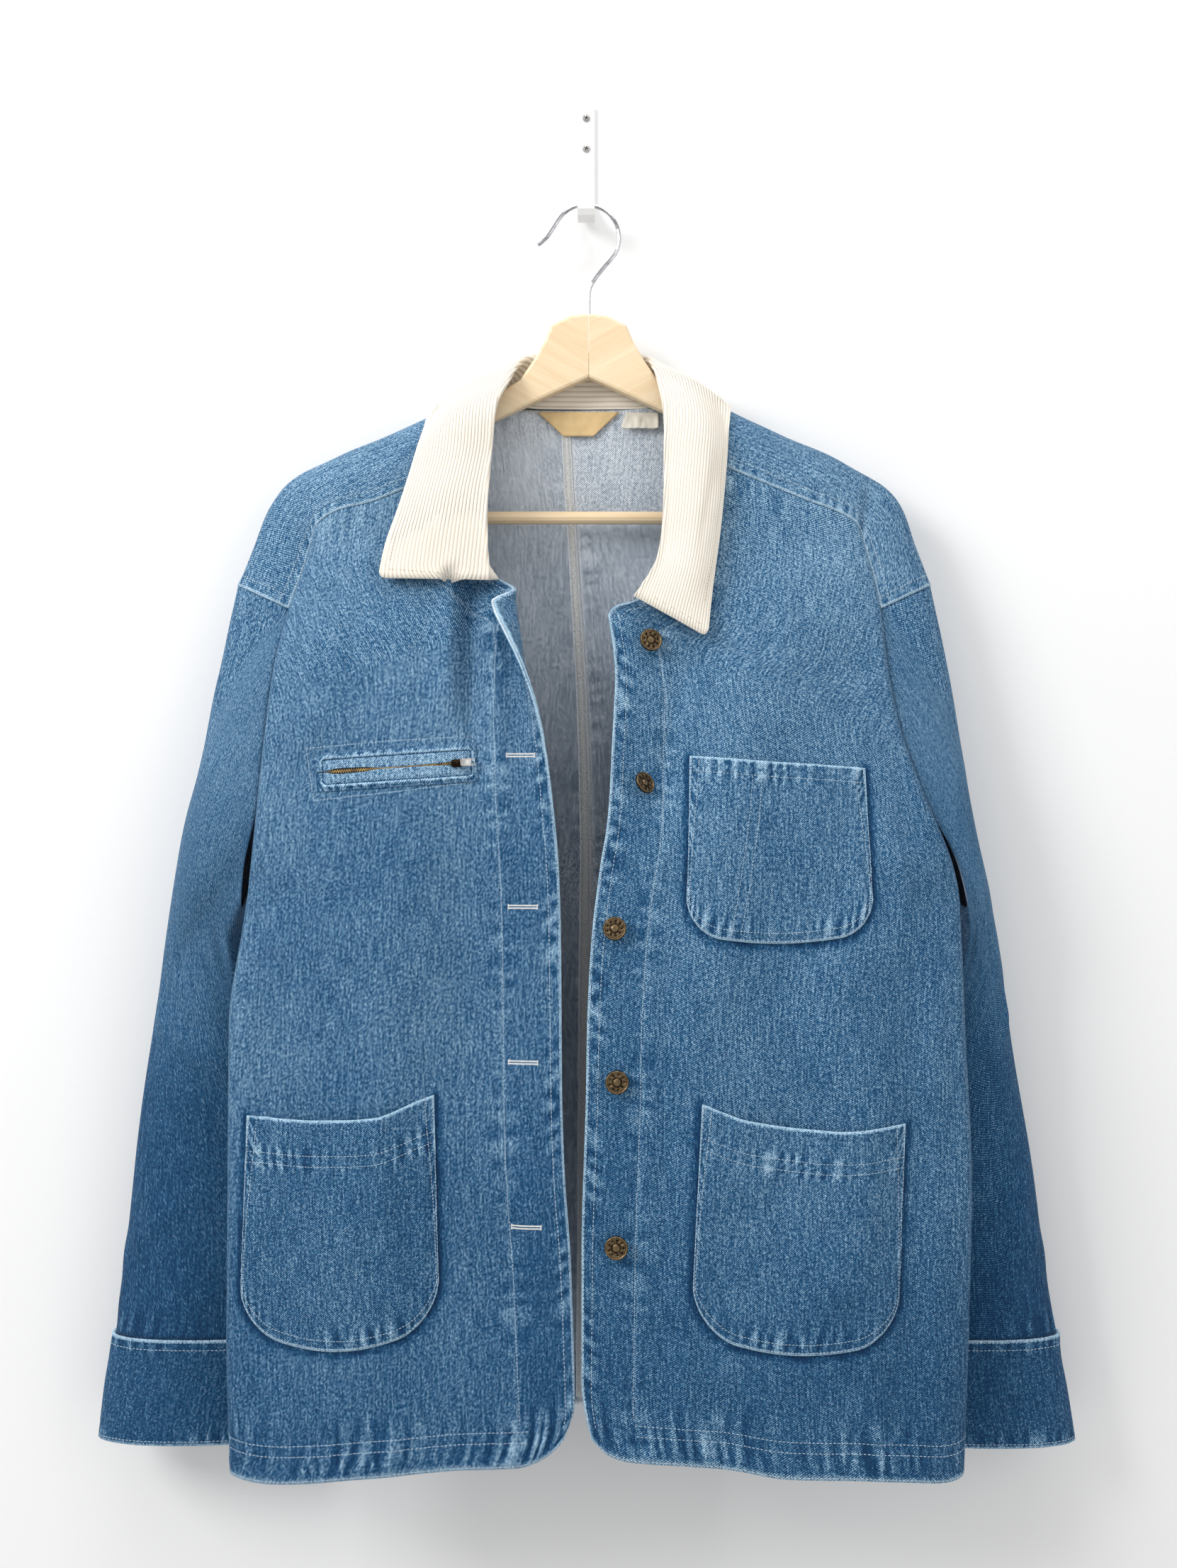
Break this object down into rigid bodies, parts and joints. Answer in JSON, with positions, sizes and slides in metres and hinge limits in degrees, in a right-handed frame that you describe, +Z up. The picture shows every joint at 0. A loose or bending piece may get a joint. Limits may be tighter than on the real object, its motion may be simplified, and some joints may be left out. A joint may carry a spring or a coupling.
{
  "type": "denim jacket with corduroy collar, with the clothes hanger and wall hook that hold it",
  "caption": "Unlined denim jacket with corduroy collar, patch pockets and slanted zip pocket, hanging open on a wooden hanger and a wall hook.",
  "frame": {"origin": "middle of the wall hook's flat back face, where it meets the wall", "axes": "+Z up, the jacket faces -Y, the wall is the plane Y = 0, +X to the wearer's left"},
  "size_m": [0.7434, 0.1413, 1.0317],
  "materials": {
    "back_right": "washed mid-blue denim",
    "back_left": "washed mid-blue denim",
    "front_right": "washed mid-blue denim",
    "front_left": "washed mid-blue denim",
    "facing_right": "washed mid-blue denim",
    "facing_left": "washed mid-blue denim",
    "yoke_right": "washed mid-blue denim",
    "yoke_left": "washed mid-blue denim",
    "sleeve_right": "washed mid-blue denim",
    "sleeve_left": "washed mid-blue denim",
    "cuff_right": "washed mid-blue denim",
    "cuff_left": "washed mid-blue denim",
    "pocket_chest": "washed mid-blue denim",
    "pocket_hip_right": "washed mid-blue denim",
    "pocket_hip_left": "washed mid-blue denim",
    "zip_lip_upper": "washed mid-blue denim",
    "zip_lip_lower": "washed mid-blue denim",
    "collar": "cream corduroy",
    "zip_tape": "black woven tape",
    "zip_slider": "satin nickel",
    "zip_pull_tab": "satin nickel",
    "button_1": "antique brass",
    "button_2": "antique brass",
    "button_3": "antique brass",
    "button_4": "antique brass",
    "button_5": "antique brass",
    "neck_label": "tan woven label",
    "care_label": "cream satin label",
    "hanger_half_right": "clear varnish",
    "hanger_half_left": "clear varnish",
    "hanger_bar": "clear varnish",
    "hanger_hook": "polished",
    "wall_hook": "white",
    "wall_screw_upper": "bright zinc",
    "wall_screw_lower": "bright zinc"
  },
  "bodies": {
    "jacket": {"back_right": "back_right", "back_left": "back_left", "front_right": "front_right", "front_left": "front_left", "facing_right": "facing_right", "facing_left": "facing_left", "yoke_right": "yoke_right", "yoke_left": "yoke_left", "sleeve_right": "sleeve_right", "sleeve_left": "sleeve_left", "cuff_right": "cuff_right", "cuff_left": "cuff_left", "pocket_chest": "pocket_chest", "pocket_hip_right": "pocket_hip_right", "pocket_hip_left": "pocket_hip_left", "zip_lip_upper": "zip_lip_upper", "zip_lip_lower": "zip_lip_lower", "collar": "collar", "zip_tape": "zip_tape", "zip_slider": "zip_slider", "button_1": "button_1", "button_2": "button_2", "button_3": "button_3", "button_4": "button_4", "button_5": "button_5", "neck_label": "neck_label", "care_label": "care_label", "hanger_half_right": "hanger_half_right", "hanger_half_left": "hanger_half_left", "hanger_bar": "hanger_bar", "hanger_hook": "hanger_hook", "wall_hook": "wall_hook", "wall_screw_upper": "wall_screw_upper", "wall_screw_lower": "wall_screw_lower"},
    "pull_tab": {"zip_pull_tab": "zip_pull_tab"}
  },
  "joints": [
    {"name": "pull_tab_swing", "type": "hinge", "parent": "jacket", "child": "pull_tab", "pos_m": [-0.0918, -0.1103, -0.47778], "axis": [0.0736, -0.1349, -0.9881], "range_deg": [0, 150]}
  ]
}
